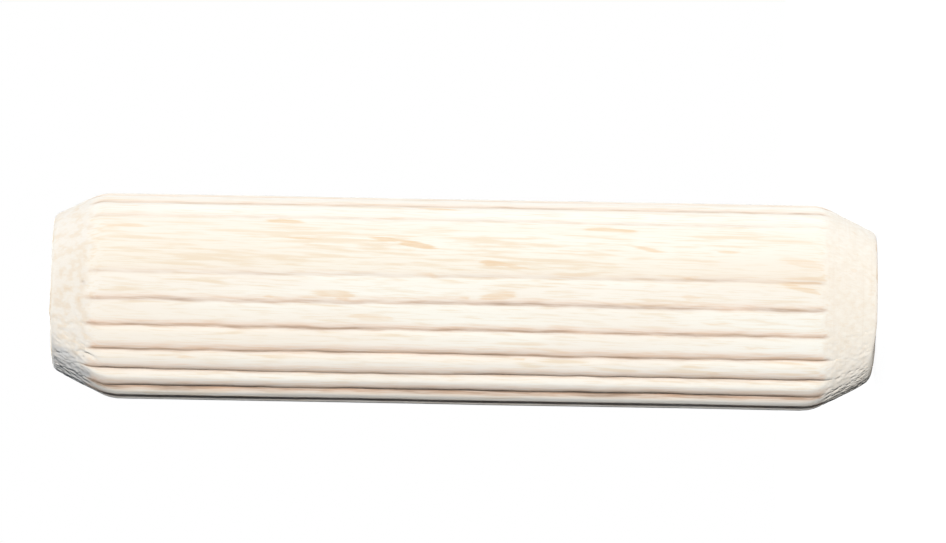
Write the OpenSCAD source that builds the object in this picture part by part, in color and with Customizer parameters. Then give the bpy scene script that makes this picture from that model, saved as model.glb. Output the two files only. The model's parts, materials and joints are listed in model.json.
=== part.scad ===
// Fluted wooden dowel pin, standing on one of its two sawn end faces.
// The origin is at the centre of the lower end face, and +Z runs along the pin.

/* [Pin] */
// Diameter of the shank over its lands
shank_d = 10; // [6:0.5:16]
// Length from one end face to the other
pin_len = 40; // [20:1:80]

/* [Ends] */
// Length of the lower chamfer along the axis
lower_chamfer = 2.7; // [1.4:0.1:4]
// Length of the upper chamfer along the axis
upper_chamfer = 2.3; // [1.4:0.1:4]
// Angle between a chamfer and the axis
chamfer_angle = 26; // [18:1:40]
// Radius where a chamfer meets its end face
end_round = 0.4; // [0.1:0.05:0.6]

/* [Flutes] */
// Number of pressed flutes
flute_count = 22; // [10:1:28]
// Angle between the two flutes beside the plain strip
plain_strip = 38; // [16:1:90]
// Depth of a flute below the lands
flute_depth = 0.25; // [0.15:0.01:0.4]
// Angle between the two flanks of a flute
flute_angle = 78; // [50:1:90]
// Radius of the rolled shoulders on both sides of a flute
shoulder_round = 0.4; // [0.1:0.01:0.5]

/* [Hidden] */
$fn = 96;

shank_r = shank_d / 2;

// Angle at which a round breaks from the face beside it, so that every edge is a definite one
edge_break = 8;

// Flutes share the turn that the plain strip leaves, and the strip faces +X
flute_pitch = (360 - plain_strip) / (flute_count - 1);

// Flute on the +X radius: a V whose flanks roll over into the lands
flank = flute_angle / 2;
flank_normal = [-sin(flank), cos(flank)];
root = [shank_r - flute_depth, 0];

// A shoulder takes up at most four fifths of its flank and of its half of the land
flank_len = flute_depth / cos(flank);
half_land = shank_r * flute_pitch * PI / 360 - flute_depth * tan(flank);
shoulder_r = min(shoulder_round, 0.8 * min(flank_len, half_land) / tan(45 - flank / 2));
shoulder_orbit = sqrt(shank_r ^ 2 + shoulder_r ^ 2 - 2 * shank_r * shoulder_r * cos(edge_break));
shoulder_reach = shoulder_r * cos(edge_break);
shoulder_turn = flank + asin((shoulder_reach - root[0] * sin(flank)) / shoulder_orbit);
to_shoulder = [cos(shoulder_turn), sin(shoulder_turn)];
shoulder_centre = shoulder_orbit * to_shoulder;
flank_end = shoulder_centre - shoulder_reach * flank_normal;
above_shoulder = (shank_r + flute_depth) * to_shoulder;

// Width that the round takes from each end face, and the point where it passes into the chamfer
chamfer_normal = [cos(chamfer_angle), -sin(chamfer_angle)];
end_reach = end_round * cos(edge_break);
end_round_w = (end_reach - end_round * sin(chamfer_angle)) / cos(chamfer_angle);
to_chamfer = [0, end_round] + end_reach * chamfer_normal;

// The rod is longer than the pin by this much at each end, and is cut to length
cut_off = shank_r;

function mirror_y(p) = [p[0], -p[1]];

// Section of one flute, cut from outside the rim
module flute_section() {
    difference() {
        polygon([
            root,
            flank_end,
            shoulder_centre,
            above_shoulder,
            mirror_y(above_shoulder),
            mirror_y(shoulder_centre),
            mirror_y(flank_end)
        ]);
        translate(shoulder_centre) circle(r = shoulder_r);
        translate(mirror_y(shoulder_centre)) circle(r = shoulder_r);
    }
}

// Section of the rod, with flutes all round but for the plain strip
module rod_section() {
    difference() {
        circle(r = shank_r);
        for (i = [0:flute_count - 1])
            rotate(plain_strip / 2 + i * flute_pitch) flute_section();
    }
}

// Space inside one sawn and chamfered end: its face, its round, and the chamfer carried past the rim
module end_space(chamfer_len) {
    drop = chamfer_len * tan(chamfer_angle);
    face_r = shank_r - drop - end_round_w;
    rotate_extrude() {
        polygon([
            [0, 0],
            [face_r, 0],
            [face_r, 0] + to_chamfer,
            [shank_r + drop, 2 * chamfer_len],
            [shank_r + drop, pin_len + cut_off],
            [0, pin_len + cut_off]
        ]);
        translate([face_r, end_round]) circle(r = end_round);
    }
}

// Fluted rod cut to length, with flutes that run out into the chamfers
module dowel_pin() {
    color([0.93, 0.86, 0.74])
    intersection() {
        translate([0, 0, -cut_off])
        linear_extrude(pin_len + 2 * cut_off) rod_section();
        end_space(lower_chamfer);
        translate([0, 0, pin_len]) mirror([0, 0, 1]) end_space(upper_chamfer);
    }
}

dowel_pin();
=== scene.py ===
"""Fluted beech dowel pin: a detailed mesh with a procedural beech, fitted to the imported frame."""

import json
import math

import bpy
import numpy as np
from mathutils import Matrix, Vector, noise


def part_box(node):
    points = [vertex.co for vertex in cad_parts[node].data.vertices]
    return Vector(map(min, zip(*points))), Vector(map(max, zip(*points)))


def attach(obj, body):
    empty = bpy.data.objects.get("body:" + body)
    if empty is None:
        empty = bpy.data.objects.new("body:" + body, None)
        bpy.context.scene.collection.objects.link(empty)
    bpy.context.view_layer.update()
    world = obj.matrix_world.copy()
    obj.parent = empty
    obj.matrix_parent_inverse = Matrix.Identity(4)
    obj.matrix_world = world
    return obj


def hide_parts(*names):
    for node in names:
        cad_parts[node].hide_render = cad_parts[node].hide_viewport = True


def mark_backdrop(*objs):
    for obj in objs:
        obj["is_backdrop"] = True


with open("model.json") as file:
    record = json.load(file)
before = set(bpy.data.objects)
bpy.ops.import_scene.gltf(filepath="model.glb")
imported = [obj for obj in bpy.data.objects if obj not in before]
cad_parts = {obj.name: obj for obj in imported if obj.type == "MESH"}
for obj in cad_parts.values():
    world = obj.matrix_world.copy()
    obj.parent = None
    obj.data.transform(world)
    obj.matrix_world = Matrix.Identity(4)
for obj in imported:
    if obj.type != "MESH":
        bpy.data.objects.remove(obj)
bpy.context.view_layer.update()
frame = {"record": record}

MM = 0.001
NODE = "dowel_pin"

# Sizes that the frame gives, in metres
LOW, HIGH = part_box(NODE)
SHANK = next(m for m in frame["record"]["mounts"] if m["name"] == "shank")
PIN_LEN = HIGH.z - LOW.z
SHANK_R = SHANK["dims"]["r_mm"] * MM
SHANK_HALF = SHANK["dims"]["length_mm"] * MM / 2
LOWER_CHAMFER = SHANK["pos_m"][2] - SHANK_HALF - LOW.z
UPPER_CHAMFER = HIGH.z - SHANK["pos_m"][2] - SHANK_HALF
MIDDLE = Vector((0, 0, LOW.z + PIN_LEN / 2))

# Ends and flutes, as on the solid
CHAMFER_ANGLE = math.radians(26)
CHAMFER_SLOPE = math.tan(CHAMFER_ANGLE)
END_ROUND = 0.4 * MM
FLUTE_COUNT = 22
PLAIN_STRIP = math.radians(38)
FLUTE_PITCH = (2 * math.pi - PLAIN_STRIP) / (FLUTE_COUNT - 1)

# What differs from flute to flute is given for some of them, by their number from the plain strip,
# and changes evenly between those

# Section of a pressed flute: a wide rolled shoulder on one side and a sharper one on the other
FLUTE_DEPTH = 0.25 * MM
DEPTH_SHARE = {0: 0.17, 1: 0.27, 2: 0.58, 3: 0.97, 4: 1.03, 5: 0.68, 6: 0.72}
ROLLED_REACH = {0: 0.55 * MM, 3: 0.6 * MM, 5: 0.85 * MM, 6: 0.55 * MM}
SHARP_REACH = 0.34 * MM
FLUTE_POWER = 1.8
ROOT_BLEND = 0.02 * MM
MOUTH_HALF = math.radians(5.2)

# Slow and quick unevenness along the flutes: grain, seed of the first flute and step to the next one's
SLOW_WANDER_NOISE = (9 * MM, 0, 3.1)
QUICK_WANDER_NOISE = (1.1 * MM, 80, 3.1)
SLOW_DEPTH_NOISE = (7 * MM, 40, 2.7)
QUICK_DEPTH_NOISE = (1.5 * MM, 140, 2.7)

# How far the flutes wander, in degrees, and the share by which their depth changes
SLOW_WANDER = {0: 0.6, 2: 0.45, 3: 0.25}
QUICK_WANDER = {0: 0.6, 1: 0.65, 3: 0.35}
SLOW_DEPTH = 0.45
QUICK_DEPTH = 0.25

# Painted shade of a flute, on the flank of its rolled side: a dark line near the root, broken into dashes,
# and a wider tan band; part of it follows the depth
ROOT_SHADE_LINE = {4: 0.09 * MM, 5: 0.25 * MM, 6: 0.22 * MM, 7: 0.1 * MM}
ROOT_SHIFT = 0.08 * MM
FLANK_SHADE_REACH = {2: 0.36 * MM, 5: 0.95 * MM, 7: 0.4 * MM}
FLUTE_SHADE_STRENGTH = {0: 0.16, 3: 1.0}
FLUTE_SHADE_EVEN = 0.6
FLUTE_SHADE_BY_DEPTH = 0.4
DASH_MIDDLE = 0.85
DASH_SWING = 0.8
DASH_MOST = 1.3

# Half width of the browner strip that has no flutes, in degrees
PLAIN_HALF_WIDTH = 26

# Noise of the surface: grain across the pin, grain along it, and seed
SWELL_NOISE = (2.5 * MM, 9 * MM, 23.0)
FIBRE_NOISE = (0.12 * MM, 5 * MM, 11.0)
PIT_NOISE = (0.3 * MM, 0.3 * MM, 51.0)
RAGGED_NOISE = (0.5 * MM, 0.9 * MM, 67.0)
TEAR_NOISE = (0.13 * MM, 0.5 * MM, 37.0)
TORN_PIT_NOISE = (0.2 * MM, 0.2 * MM, 73.0)
DASH_NOISE = (1.2 * MM, 2.2 * MM, 91.0)

# Relief of the shank and of the chamfers
SWELL_RELIEF = 0.02 * MM
FIBRE_RELIEF = 0.005 * MM
PIT_RELIEF = 0.014 * MM

# Chamfers: soft corner to the shank, and the side where the cutter tore the fibres
CORNER_BLEND = 0.22 * MM
TORN_TURN = 52
TORN_HALF_WIDTH = 56
LOWER_TORN_RELIEF = 0.07 * MM
UPPER_TORN_RELIEF = 0.11 * MM
TORN_TWIST = 0.18 / MM
TEAR_SHARE = 0.7
TORN_MOST = 0.25

# How far the marks of the cutter reach past the rim of each chamfer, towards the middle of the pin, the
# depth of cut over which they set in, its unevenness, and the share of a flute's depth that keeps them off
LOWER_MARKS = 0.1 * MM
UPPER_MARKS = -0.15 * MM
MARKS_DEPTH = 0.24 * MM
MARKS_RAGGED = 0.18 * MM
MARKS_OFF_FLUTE = 0.5

# Side where the ends are worn away, and how much the lower and the upper end have lost
WORN_TURN = 95
WORN_HALF_WIDTH = 62
WORN_EDGE = 0.5 * MM
WORN_FULL_R = 0.7 * SHANK_R
LOWER_LOSS = 0.18 * MM
UPPER_LOSS = 0.27 * MM
LOWER_EDGE_LOSS = 0.6
UPPER_EDGE_LOSS = 0.3

# Side on which the lower end face is worn back, by how much, how far that reaches along the pin, and
# the shares of the shank's radius between which it sets in
BACK_TURN = 80
BACK_HALF_WIDTH = 75
BACK_DEPTH = 0.24 * MM
BACK_REACH = 0.5 * MM
BACK_RISE = (0.45, 0.8)

# Painted grey shade on the worn, torn side of the upper end: angle where it begins at its edge and at its
# rim
END_SHADE_FROM_EDGE = 30
END_SHADE_FROM_RIM = 56
END_SHADE_SOFT = 9
END_SHADE_RAGGED = 12
END_SHADE_TO = 140

# Raised burr on the edge of the upper end, and the shares of the edge's radius between which it rises
BURR_TURN = 7
BURR_HALF_WIDTH = 15
BURR_HEIGHT = 0.05 * MM
BURR_MIDDLE = 0.7
BURR_RISE = (0.75, 0.95)

# Distance from an end within which a row belongs to the cap, and to the sawn face
CAP_REACH = 0.5 * END_ROUND
FACE_REACH = 0.2 * END_ROUND

# Columns round the pin and rows along it
GROOVE_COLUMNS = 17
GROOVE_GRADING = 1.6
LAND_STEP = math.radians(1.25)
SHANK_STEP = 0.4 * MM
RUN_OUT_STEP = 0.07 * MM
RUN_OUT_REACH = 0.55 * MM
CHAMFER_STEP = 0.075 * MM
ROUND_ROWS = 6
CAP_RINGS = 8

# Camera and the pin's place in the photograph's frame, in pixels
IMAGE_W = 946
IMAGE_H = 543
PIN_CENTRE_PX = (464.1, 302.0)
PIN_HEIGHT_PX = 205.3
CAMERA_DISTANCE_PX = 10000
PIXEL = 2 * SHANK_R / PIN_HEIGHT_PX
SENSOR_W = 36.0
CLIP_START = 0.01
VIEW_TURN = math.radians(57.4)
VIEW_ROLL = math.radians(1.03)

# Flecks seen in the photograph: middle across and down, length and width in pixels, slope in degrees,
# and strength
FLECKS = (
    (384, 239, 42, 6, 6, 1.0),
    (414, 244, 46, 9, 9, 1.0),
    (490, 263, 26, 7, 2, 0.9),
    (512, 266, 40, 4, 6, 0.7),
    (503, 295, 48, 9, -4, 0.7),
    (438, 209, 52, 6, 3, 1.0),
    (615, 230, 66, 6, 2, 0.9),
    (334, 293, 52, 8, 1, 0.6),
    (371, 318, 44, 11, 1, 0.4),
    (284, 221, 46, 7, 4, 0.9),
    (300, 238, 40, 4, 1, 0.6),
    (646, 249, 40, 5, 9, 0.8),
    (728, 252, 26, 4, 2, 0.6),
    (800, 262, 56, 11, 14, 0.3),
    (804, 283, 40, 4, -2, 0.7),
    (806, 290, 46, 6, 12, 0.5),
    (690, 297, 26, 8, 2, 0.45),
    (812, 360, 28, 6, 4, 1.0),
    (126, 225, 60, 4, 1, 0.6),
)
FLECK_FLOOR = 1e-6

# Small marks of the upper end, given as the flecks are: a nick at the rim of the chamfer and a dark
# speck beside it
NICK = (89, 358, 13, 5, 10)
NICK_DEPTH = 0.2 * MM
SPECK = (82.5, 280.5, 3.5, 2.6, 30)
SPECK_STRENGTH = 1.6


# Mesh of the pin

def smooth_min(a, b, blend):
    """The smaller of two lengths, with a round of about that size where they meet."""
    share = np.clip(0.5 + 0.5 * (b - a) / blend, 0, 1)
    return b + (a - b) * share - blend * share * (1 - share)


def smooth_step(low, high, value):
    """0 below low, 1 above high and an even slope between."""
    share = np.clip((value - low) / (high - low), 0, 1)
    return share * share * (3 - 2 * share)


def field(points, around, along, seed):
    """Perlin noise at each point, with its own grain size across the pin and along it."""
    scaled = points / np.array([around, around, along]) + seed
    return np.array([noise.noise(p) for p in scaled.reshape(-1, 3)]).reshape(points.shape[:-1])


def round_angle(turn):
    """Angle round the pin of a side that is so many degrees below the camera's side in the photograph."""
    return VIEW_TURN - math.pi / 2 - math.radians(turn)


def angle_between(a, b):
    """Signed angle from b to a, at most half a turn."""
    return np.angle(np.exp(1j * (a - b)))


def side_share(turn, middle, half_width):
    """1 on the side of the pin at a photograph's angle, falling to 0 that many degrees away."""
    away = np.degrees(np.abs(angle_between(turn, round_angle(middle))))
    return 1 - smooth_step(0.4 * half_width, half_width, away)


def by_end(level, lower, upper):
    """One value in the lower half of the pin and another in the upper half."""
    return np.where(level < PIN_LEN / 2, lower, upper)


def points_at(radius, turn, level):
    """Points at a radius, an angle round the pin and a height."""
    return np.stack(np.broadcast_arrays(radius * np.cos(turn), radius * np.sin(turn), level), axis=-1)


def flute_angle(i):
    """Angle of a flute round the pin; the plain strip faces +X."""
    return PLAIN_STRIP / 2 + i * FLUTE_PITCH


def by_flute(values):
    """A value for each flute, as a column, from those given for some numbers from the plain strip."""
    number = np.arange(FLUTE_COUNT)
    from_strip = np.minimum(number, number[::-1])
    return np.interp(from_strip, list(values.keys()), list(values.values()))[:, None]


def flute_noise(height, grain_len, seed, step):
    """Perlin noise along each flute, as an array of flutes by rows."""
    seeds = [seed + step * i for i in range(FLUTE_COUNT)]
    return np.array([[noise.noise((z / grain_len, s, 0.5)) for z in height] for s in seeds])


def columns():
    """Base angle of each column, the flute before it, and its share of the way to the next flute."""
    spread = np.linspace(-1, 1, GROOVE_COLUMNS)
    groove = MOUTH_HALF * np.sign(spread) * np.abs(spread) ** GROOVE_GRADING
    angle, left, share = [], [], []
    for i in range(FLUTE_COUNT):
        centre = flute_angle(i)
        following = flute_angle(i + 1) if i + 1 < FLUTE_COUNT else flute_angle(0) + 2 * math.pi
        land_w = following - centre - 2 * MOUTH_HALF
        steps = math.ceil(land_w / LAND_STEP)
        land_share = np.arange(1, steps) / steps
        angle += list(centre + groove) + list(centre + MOUTH_HALF + land_w * land_share)
        left += [i] * (GROOVE_COLUMNS + steps - 1)
        share += [0] * GROOVE_COLUMNS + list(land_share)
    return np.array(angle), np.array(left), np.array(share)


def end_rows(chamfer_len):
    """Radius of each row of one end and its distance from the face, from the middle past the run-outs."""
    end_face_r = SHANK_R - chamfer_len * CHAMFER_SLOPE
    flat_r = end_face_r - END_ROUND * math.tan(math.pi / 4 - CHAMFER_ANGLE / 2)
    cap = [(flat_r * i / CAP_RINGS, 0) for i in range(1, CAP_RINGS + 1)]
    turn = np.linspace(0, math.pi / 2 - CHAMFER_ANGLE, ROUND_ROWS + 1)[1:]
    edge = [(flat_r + END_ROUND * math.sin(t), END_ROUND * (1 - math.cos(t))) for t in turn]
    run_out = chamfer_len - RUN_OUT_REACH
    chamfer = np.arange(edge[-1][1] + CHAMFER_STEP, run_out, CHAMFER_STEP)
    dense = np.arange(run_out, chamfer_len + RUN_OUT_REACH, RUN_OUT_STEP)
    heights = np.concatenate([chamfer, dense])
    cone = [(end_face_r + h * CHAMFER_SLOPE, h) for h in heights]
    return cap + edge + cone


def rows():
    """Radius within which the ends leave the pin, and height, of every row from the lower end face up."""
    lower = np.array(end_rows(LOWER_CHAMFER))
    upper = np.array(end_rows(UPPER_CHAMFER))[::-1]
    upper[:, 1] = PIN_LEN - upper[:, 1]
    start, stop = lower[-1, 1], upper[0, 1]
    shank = np.linspace(start, stop, round((stop - start) / SHANK_STEP) + 1)[1:-1]
    middle = np.column_stack([np.full(len(shank), 2 * SHANK_R), shank])
    table = np.concatenate([lower, middle, upper])
    return table[:, 0], table[:, 1]


def flute_wander(height):
    """How far each flute strays from a straight line, as an angle for every row."""
    slow = by_flute(SLOW_WANDER) * flute_noise(height, *SLOW_WANDER_NOISE)
    quick = by_flute(QUICK_WANDER) * flute_noise(height, *QUICK_WANDER_NOISE)
    return np.radians(slow + quick)


def flute_depths(height):
    """Depth of each flute for every row: shallow beside the plain strip, and uneven along the pin."""
    slow = flute_noise(height, *SLOW_DEPTH_NOISE)
    quick = flute_noise(height, *QUICK_DEPTH_NOISE)
    return FLUTE_DEPTH * by_flute(DEPTH_SHARE) * (1 + SLOW_DEPTH * slow + QUICK_DEPTH * quick)


def flute_offsets(base):
    """Signed angle from each flute to each column, as an array of flutes by columns."""
    return angle_between(base[None, :], flute_angle(np.arange(FLUTE_COUNT))[:, None])


def flute_relief(base, depths):
    """How far all flutes lie below the lands: deepest at a root, and 0 past its two shoulders."""
    offset = flute_offsets(base)
    away = np.sqrt((offset * SHANK_R) ** 2 + ROOT_BLEND ** 2) - ROOT_BLEND
    reach = np.where(offset > 0, by_flute(ROLLED_REACH), SHARP_REACH)
    share = np.clip(1 - away / reach, 0, 1) ** FLUTE_POWER
    return np.max(share[:, None, :] * depths[:, :, None], axis=0)


def root_shade_share(offset, line):
    """Painted shade beside a flute's root: 1 on its rolled side, falling to 0 within a line of that half
    width.
    """
    return np.exp(-((offset * SHANK_R - ROOT_SHIFT) / line) ** 2)


def flank_shade_bands(base, uneven):
    """Painted shade of all flutes: strongest at a root, and falling to 0 on the land on its rolled side."""
    offset = flute_offsets(base)
    past_line = offset * SHANK_R - ROOT_SHIFT
    band = np.clip(1 - past_line / by_flute(FLANK_SHADE_REACH), 0, 1)
    share = np.where(past_line > 0, band, root_shade_share(offset, by_flute(ROOT_SHADE_LINE)))
    return np.max(share[:, None, :] * uneven[:, :, None], axis=0)


def photo_spot(across, down):
    """Angle round the pin and height of a spot of the photograph's frame."""
    pin_r = PIN_HEIGHT_PX / 2
    along = across - PIN_CENTRE_PX[0]
    below = down - PIN_CENTRE_PX[1] - along * math.tan(VIEW_ROLL)
    nearer = math.sqrt(pin_r ** 2 - below ** 2) / CAMERA_DISTANCE_PX
    turn = math.degrees(math.asin(below * (1 - nearer) / pin_r))
    return round_angle(turn), PIN_LEN / 2 - along * (1 - nearer) * PIXEL


def spot_mask(turn, height, spot):
    """1 in the middle of a long mark seen in the photograph, falling to 0 at its edges."""
    across, down, length, width, slope = spot[:5]
    angle, level = photo_spot(across, down)
    along = (level - height)[:, None] / PIXEL
    below = angle_between(angle, turn) * SHANK_R / PIXEL - along * math.tan(math.radians(slope))
    return np.exp(-(2 * along / length) ** 2 - (2 * below / width) ** 2)


def worked_share(level, rod, ragged):
    """1 where the cutter shaped an end, falling to 0 along a ragged edge at its rim."""
    past_rim = np.maximum(LOWER_CHAMFER - level, level - PIN_LEN + UPPER_CHAMFER)
    past_marks = past_rim + by_end(level, LOWER_MARKS, UPPER_MARKS)
    cut_depth = past_marks * CHAMFER_SLOPE - MARKS_OFF_FLUTE * (SHANK_R - rod)
    return smooth_step(0.0, MARKS_DEPTH, cut_depth + MARKS_RAGGED * ragged)


def torn_relief(smooth, turn, level, from_end):
    """Relief of the fibres that the cutter tore on one side of each end."""
    tears = field(points_at(SHANK_R, turn + TORN_TWIST * from_end, level), *TEAR_NOISE)
    torn = np.minimum(TEAR_SHARE * tears + field(smooth, *TORN_PIT_NOISE), TORN_MOST)
    relief = by_end(level, LOWER_TORN_RELIEF, UPPER_TORN_RELIEF)
    return side_share(turn, TORN_TURN, TORN_HALF_WIDTH) * relief * torn


def worn_loss(turn, level, from_end, envelope):
    """How much of its radius the pin has lost on the worn side of each end."""
    loss = by_end(level, LOWER_LOSS, UPPER_LOSS)
    loss = loss * side_share(turn, WORN_TURN, WORN_HALF_WIDTH) * np.minimum(1, envelope / WORN_FULL_R)
    edge_loss = by_end(level, LOWER_EDGE_LOSS, UPPER_EDGE_LOSS)
    return loss * (1 + edge_loss * np.exp(-from_end / WORN_EDGE))


def end_lift(radius, turn, level, from_end, ragged):
    """How far the burr stands above the upper end, and how far the lower end face is worn back."""
    upper_edge_r = SHANK_R - UPPER_CHAMFER * CHAMFER_SLOPE
    burr = side_share(turn, BURR_TURN, BURR_HALF_WIDTH) * (level > PIN_LEN / 2)
    burr = burr * smooth_step(*BURR_RISE, radius / upper_edge_r)
    lift = BURR_HEIGHT * burr * (from_end < END_ROUND) * (BURR_MIDDLE + ragged)
    back = side_share(turn, BACK_TURN, BACK_HALF_WIDTH) * (level < PIN_LEN / 2)
    back = back * smooth_step(*BACK_RISE, radius / SHANK_R) * np.exp(-level / BACK_REACH)
    return lift + BACK_DEPTH * back


def end_shade_share(turn, level, ragged):
    """1 where grey shade is painted on the worn, torn side of the upper end, falling to 0 along a ragged
    edge.
    """
    below = np.degrees(angle_between(round_angle(0), turn))
    shade_from = END_SHADE_FROM_EDGE + (END_SHADE_FROM_RIM - END_SHADE_FROM_EDGE) * (PIN_LEN - level) / UPPER_CHAMFER
    shaded = smooth_step(-END_SHADE_SOFT, END_SHADE_SOFT, below - shade_from + END_SHADE_RAGGED * ragged)
    return shaded * (1 - smooth_step(END_SHADE_TO - END_SHADE_SOFT, END_SHADE_TO + END_SHADE_SOFT, below)) * (level > PIN_LEN / 2)


def pin_arrays():
    """Vertex places and surface masks, as arrays of rows by columns, and the base angles of the columns."""
    base, left, share = columns()
    envelope, height = rows()
    envelope = envelope[:, None]
    level = height[:, None]
    from_end = np.minimum(level, PIN_LEN - level)
    right = (left + 1) % FLUTE_COUNT
    wander = flute_wander(height)
    turn = base + (1 - share) * wander[left].T + share * wander[right].T
    depths = flute_depths(height)
    rod = SHANK_R - flute_relief(base, depths)

    smooth = points_at(SHANK_R, turn, level)
    ragged = field(smooth, *RAGGED_NOISE)
    worked = worked_share(level, rod, ragged)
    cut = PIT_RELIEF * field(smooth, *PIT_NOISE) + torn_relief(smooth, turn, level, from_end)
    grown = FIBRE_RELIEF * field(smooth, *FIBRE_NOISE) + SWELL_RELIEF * field(smooth, *SWELL_NOISE)
    worn = envelope - worn_loss(turn, level, from_end, envelope)
    radius = smooth_min(rod, worn, CORNER_BLEND) + worked * cut + (1 - worked) * grown
    radius = np.where(from_end < CAP_REACH, worn, radius - NICK_DEPTH * spot_mask(turn, height, NICK))
    place = points_at(radius, turn, level + end_lift(radius, turn, level, from_end, ragged))

    nearest = np.where(share < 0.5, left, right)
    offset = angle_between(base, flute_angle(nearest))[None, :]
    depth_share = depths / depths.mean(axis=1, keepdims=True)
    # Painted shade of the flutes: its strength for each flute and row, its dashes, and the dark line in each
    # root
    uneven = by_flute(FLUTE_SHADE_STRENGTH) * (FLUTE_SHADE_EVEN + FLUTE_SHADE_BY_DEPTH * depth_share)
    dashes = np.clip(DASH_MIDDLE + DASH_SWING * field(smooth, *DASH_NOISE), 0, DASH_MOST)
    root = root_shade_share(offset, by_flute(ROOT_SHADE_LINE)[nearest].T) * uneven[nearest].T * dashes * (1 - worked)
    flecks = np.array([spot_mask(turn, height, fleck) for fleck in FLECKS])
    tones = np.array([fleck[5] for fleck in FLECKS])
    plain_turn = math.degrees(VIEW_TURN) - 90
    masks = {
        # Painted shade of the flutes: a band on each rolled flank and a line in each root; the root mask
        # also holds a real dark speck
        "flank_shade": np.clip(flank_shade_bands(base, uneven) * (1 - worked), 0, 1),
        "root": np.clip(root + SPECK_STRENGTH * spot_mask(turn, height, SPECK), 0, 1),
        "plain": side_share(turn, plain_turn, PLAIN_HALF_WIDTH) * (1 - worked),
        "worked_end": worked,
        # Painted grey shade on the worn, torn side of the upper end
        "end_shade": end_shade_share(turn, level, ragged) * worked,
        "end_face": np.where(from_end < FACE_REACH, 1.0, 0.0) * np.ones_like(turn),
        "fleck": flecks.max(axis=0) * (1 - worked),
        "fleck_tone": np.tensordot(tones, flecks, 1) / (flecks.sum(axis=0) + FLECK_FLOOR),
    }
    return place, masks, base


# Bake map: the side laid out flat, and the two end faces beside it
MAP_SIDE = 44 * MM
MAP_MARGIN = 0.01
LOWER_FACE_SPOT = (0.87, 0.25)
UPPER_FACE_SPOT = (0.87, 0.65)


def bake_corners(place, base, row, column):
    """Places on the bake map of face corners that are given by their row and column."""
    column_count = place.shape[1]
    wrapped = column % column_count
    unrolled = base[wrapped] - base[0] + 2 * math.pi * (column // column_count)
    profile = np.column_stack([np.hypot(place[:, 0, 0], place[:, 0, 1]), place[:, 0, 2]])
    steps = np.hypot(*np.diff(profile, axis=0).T)
    reach = np.concatenate([[0], np.cumsum(steps)])
    side = np.column_stack([unrolled * SHANK_R, reach[row] - reach[CAP_RINGS - 1]]) / MAP_SIDE + MAP_MARGIN
    flat = place[row, wrapped, :2] / MAP_SIDE
    return side, flat + LOWER_FACE_SPOT, flat + UPPER_FACE_SPOT


def add_bake_map(mesh, place, base, quads_row, quads_column, fan_row, fan_column):
    """Lays out every face for baking."""
    row_count = place.shape[0]
    side, lower, upper = bake_corners(place, base, quads_row.reshape(-1), quads_column.reshape(-1))
    on_lower = np.repeat(quads_row.max(axis=1) < CAP_RINGS, 4)
    on_upper = np.repeat(quads_row.min(axis=1) >= row_count - CAP_RINGS, 4)
    corners = np.where(on_lower[:, None], lower, np.where(on_upper[:, None], upper, side))
    _, fan_lower, fan_upper = bake_corners(place, base, fan_row.reshape(-1), fan_column.reshape(-1))
    fan = np.where(np.repeat(fan_row[:, 1] == 0, 3)[:, None], fan_lower, fan_upper).reshape(-1, 3, 2)
    fan[:, 0] = np.where((fan_row[:, 1] == 0)[:, None], LOWER_FACE_SPOT, UPPER_FACE_SPOT)
    spots = np.concatenate([corners, fan.reshape(-1, 2)]).astype(np.float32)
    layer = mesh.uv_layers.new(name="OFBake")
    layer.uv.foreach_set("vector", spots.reshape(-1))


def build_pin():
    """The pin as one closed mesh: a grid round the pin, and a fan at the middle of each end face."""
    place, masks, base = pin_arrays()
    row_count, column_count = place.shape[:2]
    row, column = np.meshgrid(np.arange(row_count - 1), np.arange(column_count), indexing="ij")
    row, column = row.reshape(-1), column.reshape(-1)
    quads_row = np.stack([row, row, row + 1, row + 1], axis=-1)
    quads_column = np.stack([column, column + 1, column + 1, column], axis=-1)
    quads = quads_row * column_count + quads_column % column_count

    around = np.arange(column_count)
    top_row = np.full(column_count, row_count - 1)
    fan_row = np.concatenate([np.zeros((column_count, 3), int), np.stack([top_row] * 3, axis=-1)])
    fan_column = np.concatenate([np.stack([around, around + 1, around], axis=-1),
                                 np.stack([around, around, around + 1], axis=-1)])
    fans = fan_row * column_count + fan_column % column_count
    fans[:column_count, 0] = row_count * column_count
    fans[column_count:, 0] = row_count * column_count + 1

    middles = [[0, 0, place[0, 0, 2]], [0, 0, place[-1, 0, 2]]]
    points = np.concatenate([place.reshape(-1, 3), middles])
    points[:, 2] += LOW.z
    mesh = bpy.data.meshes.new("fluted_pin")
    mesh.from_pydata(points.tolist(), [], quads.tolist() + fans.tolist())
    for name, mask in masks.items():
        middle_values = [mask[0].mean(), mask[-1].mean()]
        layer = mesh.attributes.new(name, "FLOAT", "POINT")
        layer.data.foreach_set("value", np.concatenate([mask.reshape(-1), middle_values]).astype(np.float32))
    add_bake_map(mesh, place, base, quads_row, quads_column, fan_row, fan_column)
    mesh.shade_smooth()
    pin = bpy.data.objects.new("fluted_pin", mesh)
    bpy.context.scene.collection.objects.link(pin)
    return pin


# Materials

PALE = (0.955, 0.935, 0.87, 1)
WARM = (0.945, 0.90, 0.825, 1)
PLAIN_TAN = (0.89, 0.80, 0.67, 1)
FIBRE_TAN = (0.885, 0.785, 0.64, 1)
FLECK_TAN = (0.86, 0.68, 0.47, 1)
# Painted shade of the flutes: a tan band on each rolled flank, and a brown line in each root
FLANK_SHADE_TAN = (0.86, 0.62, 0.45, 1)
ROOT_SHADE_BROWN = (0.40, 0.28, 0.20, 1)
END_PALE = (0.92, 0.87, 0.79, 1)
END_DARK = (0.86, 0.78, 0.68, 1)
END_GREY = (0.86, 0.82, 0.76, 1)
END_STAIN = (0.80, 0.68, 0.53, 1)
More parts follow.
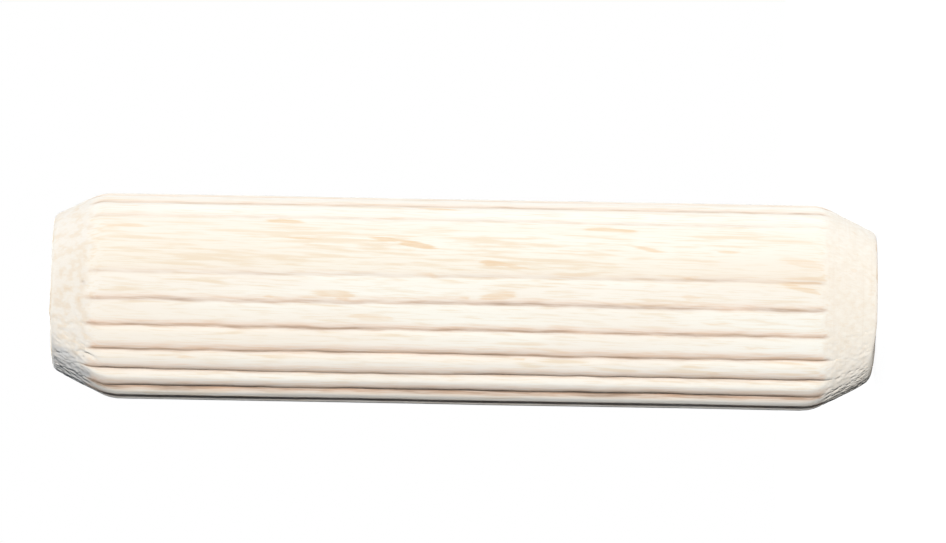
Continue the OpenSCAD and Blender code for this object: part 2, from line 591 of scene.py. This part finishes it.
# Painted bluish-grey shade on the worn, torn side of the upper end
END_SHADE_GREY = (0.54, 0.56, 0.58, 1)
RING_TAN = (0.80, 0.67, 0.50, 1)
PORE_BROWN = (0.55, 0.40, 0.27, 1)

# Lie of the grain, and the heart of the tree that the growth rings curve round, in millimetres
GRAIN_TURN = (math.radians(1.5), 0, 0)
PITH = (-13, 19, 0)
RING_STEP = 1.8
RING_DRIFT = 1.2
LATE_WOOD_FROM = 0.25
LATE_WOOD_PEAK = 0.93

# Noise of the wood: features in a millimetre along each axis, and detail
FIBRE_GRAIN = ((12, 12, 0.7), 4.0)
STREAK_GRAIN = ((6, 6, 0.4), 4.0)
PATCH_GRAIN = ((1.1, 1.1, 0.2), 2.0)
TONE_GRAIN = ((0.25, 0.5, 0.07), 2.0)
RING_GRAIN = ((0.22, 0.22, 0.03), 2.0)
PORE_GRAIN = ((5, 5, 3), 3.0)
TURNING_GRAIN = ((0.2, 0.2, 8), 2.0)
MOTTLE_GRAIN = ((2.6, 2.6, 2.2), 5.0)
SAW_GRAIN = ((0.4, 7, 1), 2.0)

# Ray flecks: cells in a millimetre, their wobble, and the ranges of distance and chance that make a fleck
FLECK_CELLS = (2.1, 2.1, 0.26)
FLECK_WOBBLE = (2.5, 2.5, 0.9)
FLECK_SHIFT = (0.7, 0.7, 0.4)
FLECK_DISTANCE = (0.34, 0.10)
FLECK_CHANCE = (0.60, 0.95)

# Sawn faces: pores in a millimetre and their edge, number of rays in a radian, their drift and their edge
FACE_PORES = (7, 7, 1.5)
FACE_PORE_EDGE = (0.32, 0.12)
FACE_RAYS = 110.0
FACE_RAY_DRIFT = 0.45
FACE_RAY_EDGE = (0.55, 0.72)

# Range of each noise over which its tone sets in
TONE_RANGE = (0.48, 0.78)
FIBRE_RANGE = (0.48, 0.70)
STREAK_RANGE = (0.56, 0.76)
PORE_RANGE = (0.2, 0.7)
TURNING_RANGE = (0.52, 0.70)
MOTTLE_RANGE = (0.42, 0.66)
UPPER_RANGE = (0.4 * PIN_LEN / MM, 0.6 * PIN_LEN / MM)

# Most that each tone takes in the colour
PLAIN_SHARE = 0.17
RING_SHARE = 0.15
FIBRE_SHARE = 0.5
STREAK_SHARE = 0.9
FLECK_SHARE = 0.5
# Shares of the painted shade of the flutes: the band on the rolled flank, and the root line
FLANK_SHADE_SHARE = 0.95
ROOT_SHADE_SHARE = 0.75
TURNING_SHARE = 0.8
UPPER_SHARE = 0.75
MOTTLE_SHARE = 0.75
LOWER_MOTTLE = 0.35
WORKED_SHARE = 0.6
# Share of the painted grey shade on the upper end
END_SHADE_SHARE = 0.55
FACE_RING_SHARES = (0.1, 0.75)
FACE_RAY_SHARE = 0.5
FACE_PORE_SHARE = 0.55

# Slow warming towards the upper end in a millimetre, and how patches and the plain strip add to the streaks
TONE_RISE = 0.25 * MM / PIN_LEN
PATCH_SWING = 0.5
PLAIN_STREAKS = 0.08

# Flecks of the photograph: raggedness of their edges, where they fade out, and how fibres break them
FLECK_RAGGED = 1.4
FLECK_EDGE = (0.35, 0.65)
FLECK_FADE = (0.05, 0.3)
FLECK_BREAKS = (0.35, 0.6, 0.5, 0.9)

# How fibres break the painted shade of the flutes
FLUTE_SHADE_BREAKS = (0.3, 0.7, 0.6, 1.4)

# Bump and finish
PORE_HEIGHT = 0.5
SAW_HEIGHT = 0.5
BUMP_STRENGTH = 0.4
BUMP_DISTANCE = 0.02 * MM
ROUGHNESS = (0.3, 0.7, 0.62, 0.74)
SPECULAR = 0.1
DIFFUSE_ROUGHNESS = 1.0


def node(tree, kind, sockets=None, **settings):
    """Adds a shader node; a socket's value is a number, a colour or another node's output."""
    made = tree.nodes.new("ShaderNode" + kind)
    for name, value in settings.items():
        setattr(made, name, value)
    for name, value in (sockets or {}).items():
        if isinstance(value, bpy.types.NodeSocket):
            tree.links.new(value, made.inputs[name])
        else:
            made.inputs[name].default_value = value
    return made


def maths(tree, operation, a, b=0.0):
    """One step of arithmetic on two numbers or outputs."""
    return node(tree, "Math", {0: a, 1: b}, operation=operation).outputs[0]


def times(tree, a, b):
    """Product of two numbers or outputs."""
    return maths(tree, "MULTIPLY", a, b)


def plus(tree, a, b):
    """Sum of two numbers or outputs."""
    return maths(tree, "ADD", a, b)


def swing(tree, value, reach):
    """A noise about its middle, times a reach."""
    return times(tree, maths(tree, "SUBTRACT", value, 0.5), reach)


def vectors(tree, operation, a, b):
    """One step of arithmetic on two vectors."""
    return node(tree, "VectorMath", {0: a, 1: b}, operation=operation).outputs[0]


def ramp(tree, value, low, high, start=0.0, end=1.0):
    """A smooth change from start to end while value goes from low to high."""
    sockets = {"Value": value, "From Min": low, "From Max": high, "To Min": start, "To Max": end}
    return node(tree, "MapRange", sockets, interpolation_type="SMOOTHSTEP").outputs[0]


def blend(tree, share, a, b):
    """Mixes two colours."""
    made = node(tree, "Mix", data_type="RGBA")
    for name, value in (("Factor_Float", share), ("A_Color", a), ("B_Color", b)):
        socket = next(s for s in made.inputs if s.identifier == name)
        if isinstance(value, bpy.types.NodeSocket):
            tree.links.new(value, socket)
        else:
            socket.default_value = value
    return next(s for s in made.outputs if s.identifier == "Result_Color")


def stretched(tree, coordinates, scale):
    """Coordinates multiplied by a scale for each axis."""
    return node(tree, "Mapping", {"Vector": coordinates, "Scale": scale}).outputs[0]


def grain(tree, coordinates, scale, detail):
    """Noise with its own scale for each axis."""
    vector = stretched(tree, coordinates, scale)
    return node(tree, "TexNoise", {"Vector": vector, "Scale": 1.0, "Detail": detail}).outputs[0]


def attribute(tree, name):
    """A mask of the mesh."""
    return node(tree, "Attribute", attribute_name=name).outputs["Fac"]


def ray_flecks(tree, coordinates):
    """Long pointed flecks scattered through the wood, where its rays are cut."""
    wobble = node(tree, "TexNoise", {"Vector": stretched(tree, coordinates, FLECK_WOBBLE), "Scale": 1.0})
    centred = vectors(tree, "SUBTRACT", wobble.outputs["Color"], (0.5, 0.5, 0.5))
    shift = vectors(tree, "MULTIPLY", centred, FLECK_SHIFT)
    vector = vectors(tree, "ADD", stretched(tree, coordinates, FLECK_CELLS), shift)
    cells = node(tree, "TexVoronoi", {"Vector": vector, "Scale": 1.0}, distance="MANHATTAN")
    chance = node(tree, "SeparateColor", {"Color": cells.outputs["Color"]}).outputs[0]
    inside = ramp(tree, cells.outputs["Distance"], *FLECK_DISTANCE)
    return times(tree, inside, ramp(tree, chance, *FLECK_CHANCE))


def growth_rings(tree, place):
    """1 in the late wood of each year, 0 in the early wood."""
    flat = vectors(tree, "MULTIPLY", vectors(tree, "SUBTRACT", place, PITH), (1, 1, 0))
    away = node(tree, "VectorMath", {0: flat}, operation="LENGTH").outputs["Value"]
    drift = times(tree, grain(tree, place, *RING_GRAIN), RING_DRIFT)
    years = maths(tree, "FRACT", plus(tree, maths(tree, "DIVIDE", away, RING_STEP), drift))
    rise = ramp(tree, years, LATE_WOOD_FROM, LATE_WOOD_PEAK)
    return times(tree, rise, ramp(tree, years, 1.0, LATE_WOOD_PEAK))


def end_rays(tree, place):
    """Pale lines that run out from the heart of the tree across the end grain."""
    flat = node(tree, "SeparateXYZ", {0: vectors(tree, "SUBTRACT", place, PITH)}).outputs
    bearing = maths(tree, "ARCTAN2", flat["Y"], flat["X"])
    away = times(tree, flat["X"], FACE_RAY_DRIFT)
    lines = node(tree, "CombineXYZ", {0: times(tree, bearing, FACE_RAYS), 1: away}).outputs[0]
    return ramp(tree, node(tree, "TexNoise", {"Vector": lines, "Scale": 1.0}).outputs[0], *FACE_RAY_EDGE)


def end_grain_colour(tree, place, rings):
    """Sawn end grain: growth rings, rays and open pores."""
    colour = blend(tree, ramp(tree, rings, 0.0, 1.0, *FACE_RING_SHARES), END_PALE, RING_TAN)
    colour = blend(tree, times(tree, end_rays(tree, place), FACE_RAY_SHARE), colour, END_PALE)
    cells = node(tree, "TexVoronoi", {"Vector": stretched(tree, place, FACE_PORES), "Scale": 1.0})
    pores = ramp(tree, cells.outputs["Distance"], *FACE_PORE_EDGE)
    return blend(tree, times(tree, pores, FACE_PORE_SHARE), colour, PORE_BROWN)


def placed_flecks(tree, fibres, streaks):
    """Strength of the flecks that the photograph shows, ragged along the fibres."""
    placed = attribute(tree, "fleck")
    ragged = plus(tree, placed, swing(tree, streaks, FLECK_RAGGED))
    mark = times(tree, ramp(tree, ragged, *FLECK_EDGE), ramp(tree, placed, *FLECK_FADE))
    mark = times(tree, mark, ramp(tree, fibres, *FLECK_BREAKS))
    return times(tree, mark, attribute(tree, "fleck_tone"))


def side_colour(tree, turned, level, rings, fibres):
    """Side of the pin: slow tones, growth rings, fibres, streaks, flecks and the painted shade of the
    flutes.
    """
    plain = attribute(tree, "plain")
    streaks = grain(tree, turned, *STREAK_GRAIN)
    slow = plus(tree, grain(tree, turned, *TONE_GRAIN), times(tree, level, TONE_RISE))
    colour = blend(tree, ramp(tree, slow, *TONE_RANGE), PALE, WARM)
    colour = blend(tree, times(tree, plain, PLAIN_SHARE), colour, PLAIN_TAN)
    colour = blend(tree, times(tree, rings, RING_SHARE), colour, FIBRE_TAN)
    colour = blend(tree, ramp(tree, fibres, *FIBRE_RANGE, 0, FIBRE_SHARE), colour, FIBRE_TAN)
    streaky = plus(tree, streaks, swing(tree, grain(tree, turned, *PATCH_GRAIN), PATCH_SWING))
    streaky = plus(tree, streaky, times(tree, plain, PLAIN_STREAKS))
    colour = blend(tree, ramp(tree, streaky, *STREAK_RANGE, 0, STREAK_SHARE), colour, FIBRE_TAN)
    colour = blend(tree, times(tree, ray_flecks(tree, turned), FLECK_SHARE), colour, FLECK_TAN)
    colour = blend(tree, placed_flecks(tree, fibres, streaks), colour, FLECK_TAN)
    broken = ramp(tree, fibres, *FLUTE_SHADE_BREAKS)
    # Painted shade of the flutes: a band on each rolled flank, and a line in each root, which also holds a
    # real dark speck
    for name, share, tone in (("flank_shade", FLANK_SHADE_SHARE, FLANK_SHADE_TAN), ("root", ROOT_SHADE_SHARE, ROOT_SHADE_BROWN)):
        painted_shade = times(tree, attribute(tree, name), broken)
        colour = blend(tree, times(tree, painted_shade, share), colour, tone)
    return colour


def chamfer_colour(tree, place, level, pores, turning):
    """Chamfers: open pores, marks of the cutter, and a greyer and more mottled upper end."""
    colour = blend(tree, ramp(tree, pores, *PORE_RANGE), END_DARK, END_PALE)
    colour = blend(tree, ramp(tree, turning, *TURNING_RANGE, 0, TURNING_SHARE), colour, END_DARK)
    upper = ramp(tree, level, *UPPER_RANGE, 0, UPPER_SHARE)
    colour = blend(tree, upper, colour, END_GREY)
    mottle = ramp(tree, grain(tree, place, *MOTTLE_GRAIN), *MOTTLE_RANGE)
    mottled = times(tree, mottle, plus(tree, upper, LOWER_MOTTLE))
    return blend(tree, times(tree, mottled, MOTTLE_SHARE), colour, END_STAIN)


def beech_material():
    """Raw beech as a solid texture: growth layers, fine fibres, ray flecks, flutes with painted shade, cut
    ends, and painted grey shade on the worn side of the upper end.
    """
    material = bpy.data.materials.new("raw_beech")
    material.use_nodes = True
    tree = material.node_tree
    shader = tree.nodes["Principled BSDF"]
    place = stretched(tree, node(tree, "TexCoord").outputs["Object"], (1 / MM, 1 / MM, 1 / MM))
    turned = node(tree, "VectorRotate", {"Vector": place, "Rotation": GRAIN_TURN},
                  rotation_type="EULER_XYZ").outputs[0]
    level = node(tree, "SeparateXYZ", {0: place}).outputs["Z"]
    worked = attribute(tree, "worked_end")
    rings = growth_rings(tree, turned)
    fibres = grain(tree, turned, *FIBRE_GRAIN)
    pores = grain(tree, turned, *PORE_GRAIN)
    turning = grain(tree, place, *TURNING_GRAIN)

    colour = side_colour(tree, turned, level, rings, fibres)
    end_tone = chamfer_colour(tree, place, level, pores, turning)
    colour = blend(tree, times(tree, worked, WORKED_SHARE), colour, end_tone)
    # Painted grey shade on the worn, torn side of the upper end
    colour = blend(tree, times(tree, attribute(tree, "end_shade"), END_SHADE_SHARE), colour, END_SHADE_GREY)
    colour = blend(tree, attribute(tree, "end_face"), colour, end_grain_colour(tree, turned, rings))

    end_height = plus(tree, times(tree, pores, PORE_HEIGHT), turning)
    end_height = plus(tree, end_height, times(tree, grain(tree, place, *SAW_GRAIN), SAW_HEIGHT))
    height = plus(tree, fibres, times(tree, end_height, worked))
    bump = node(tree, "Bump", {"Height": height, "Strength": BUMP_STRENGTH, "Distance": BUMP_DISTANCE})
    tree.links.new(colour, shader.inputs["Base Color"])
    tree.links.new(ramp(tree, fibres, *ROUGHNESS), shader.inputs["Roughness"])
    tree.links.new(bump.outputs[0], shader.inputs["Normal"])
    shader.inputs["Specular IOR Level"].default_value = SPECULAR
    shader.inputs["Diffuse Roughness"].default_value = DIFFUSE_ROUGHNESS
    return material


def seen_directly(tree):
    """1 for rays that show a surface to the camera, straight or in a reflection."""
    path = node(tree, "LightPath").outputs
    seen = maths(tree, "MAXIMUM", path["Is Camera Ray"], path["Is Glossy Ray"])
    return maths(tree, "MAXIMUM", seen, path["Is Transmission Ray"])


# Stage: floor, world, lamps and camera

FLOOR_RADIUS = 0.15
FLOOR_SIDES = 96
FLOOR_GAP = 0.02 * MM
FLOOR_GLOW = 0.95
FLOOR_TONE = (0.2, 0.2, 0.2, 1)
WORLD_FILL = (0.025, 0.04, 0.06, 1)
WHITE = (1, 1, 1, 1)

# Lamps: angle round the pin from the camera's side, angle above the level, brightness and side; the key
# is a little above the camera in the photograph, and the fills light the other sides
LAMP_DISTANCE = 0.6
LAMPS = {
    "key": (-10.7, 1, 0.95, 0.05),
    "top_fill": (-115, 8, 0.04, 0.15),
    "back_fill": (176, 18, 0.8, 0.15),
    "overhead": (-150, 62, 0.22, 0.20),
}


def build_floor():
    """Pale floor that the camera sees as white, apart from the pin's shadow."""
    material = bpy.data.materials.new("floor_white")
    material.use_nodes = True
    tree = material.node_tree
    tree.nodes.remove(tree.nodes["Principled BSDF"])
    glow = node(tree, "Emission", {"Strength": times(tree, seen_directly(tree), FLOOR_GLOW)})
    matt = node(tree, "BsdfDiffuse", {"Color": FLOOR_TONE})
    both = node(tree, "AddShader", {0: glow.outputs[0], 1: matt.outputs[0]})
    tree.links.new(both.outputs[0], tree.nodes["Material Output"].inputs["Surface"])
    bpy.ops.mesh.primitive_circle_add(vertices=FLOOR_SIDES, radius=FLOOR_RADIUS, fill_type="NGON",
                                      location=(0, 0, LOW.z - FLOOR_GAP))
    floor = bpy.context.object
    floor.name = "floor"
    floor.data.materials.append(material)
    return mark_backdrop(floor)


def build_world():
    """White to the camera, and a faint cool fill on the pin."""
    world = bpy.data.worlds.new("studio")
    bpy.context.scene.world = world
    world.use_nodes = True
    tree = world.node_tree
    colour = blend(tree, seen_directly(tree), WORLD_FILL, WHITE)
    tree.links.new(colour, tree.nodes["Background"].inputs["Color"])


def round_pin(turn, lift):
    """Direction from the pin at an angle below the camera's side in the photograph, and above the level."""
    angle = round_angle(turn)
    rise = math.radians(lift)
    return Vector((math.cos(angle) * math.cos(rise), math.sin(angle) * math.cos(rise), math.sin(rise)))


def softbox(name, turn, lift, level, side):
    """Square lamp that gives a white surface facing it that level of brightness."""
    lamp = bpy.data.lights.new(name, "AREA")
    lamp.size = side
    lamp.energy = level * math.pi ** 2 * LAMP_DISTANCE ** 2
    holder = bpy.data.objects.new(name, lamp)
    away = round_pin(turn, lift)
    holder.location = MIDDLE + away * LAMP_DISTANCE
    holder.rotation_euler = away.to_track_quat("Z", "Y").to_euler()
    bpy.context.scene.collection.objects.link(holder)


def build_camera():
    """Camera with the pin's foot at the right of the picture, as far off and turned as in the photograph."""
    back = round_pin(0, 0)
    level_right = Vector((0, 0, -1))
    level_up = back.cross(level_right)
    right = level_right * math.cos(VIEW_ROLL) + level_up * math.sin(VIEW_ROLL)
    up = level_up * math.cos(VIEW_ROLL) - level_right * math.sin(VIEW_ROLL)
    across = (PIN_CENTRE_PX[0] - IMAGE_W / 2) * PIXEL
    below = (PIN_CENTRE_PX[1] - IMAGE_H / 2) * PIXEL
    lens = bpy.data.cameras.new("camera")
    lens.sensor_width = SENSOR_W
    lens.lens = SENSOR_W * CAMERA_DISTANCE_PX / IMAGE_W
    lens.clip_start = CLIP_START
    camera = bpy.data.objects.new("camera", lens)
    spot = MIDDLE + back * (CAMERA_DISTANCE_PX * PIXEL) - right * across + up * below
    camera.matrix_world = Matrix.Translation(spot) @ Matrix((right, up, back)).transposed().to_4x4()
    bpy.context.scene.collection.objects.link(camera)
    bpy.context.scene.camera = camera


bpy.context.scene.view_settings.view_transform = "Standard"
pin = build_pin()
pin.data.materials.append(beech_material())
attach(pin, "root")
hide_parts(NODE)
build_floor()
build_world()
for lamp_name, lamp_values in LAMPS.items():
    softbox(lamp_name, *lamp_values)
build_camera()
